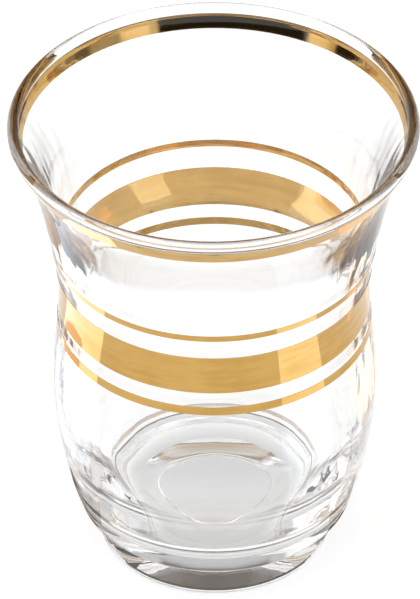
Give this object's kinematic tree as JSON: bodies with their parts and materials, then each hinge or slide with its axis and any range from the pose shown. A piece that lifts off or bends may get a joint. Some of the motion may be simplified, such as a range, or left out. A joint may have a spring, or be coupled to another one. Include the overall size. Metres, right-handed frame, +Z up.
{
  "type": "tea glass",
  "caption": "Clear pressed tea glass with a flared lip edged in gold, a soft waist circled by gold bands, a rounded belly and a short heavy foot, for serving hot tea.",
  "frame": {"origin": "centre of the foot, on the table plane that the glass stands on", "axes": "+Z up along the glass's axis, from the foot to the lip; X and Y are any two directions across it, because the glass is round"},
  "size_m": [0.068, 0.068, 0.086],
  "materials": {
    "clear_glass": "clear fire-polished pressed glass",
    "fired_gold": "bright fired gold, faintly brushed"
  },
  "bodies": {
    "root": {"glass_body": "clear_glass", "rim_gilding": "fired_gold", "upper_gold_line": "fired_gold", "broad_gold_band": "fired_gold", "lower_gold_line": "fired_gold"}
  },
  "joints": []
}
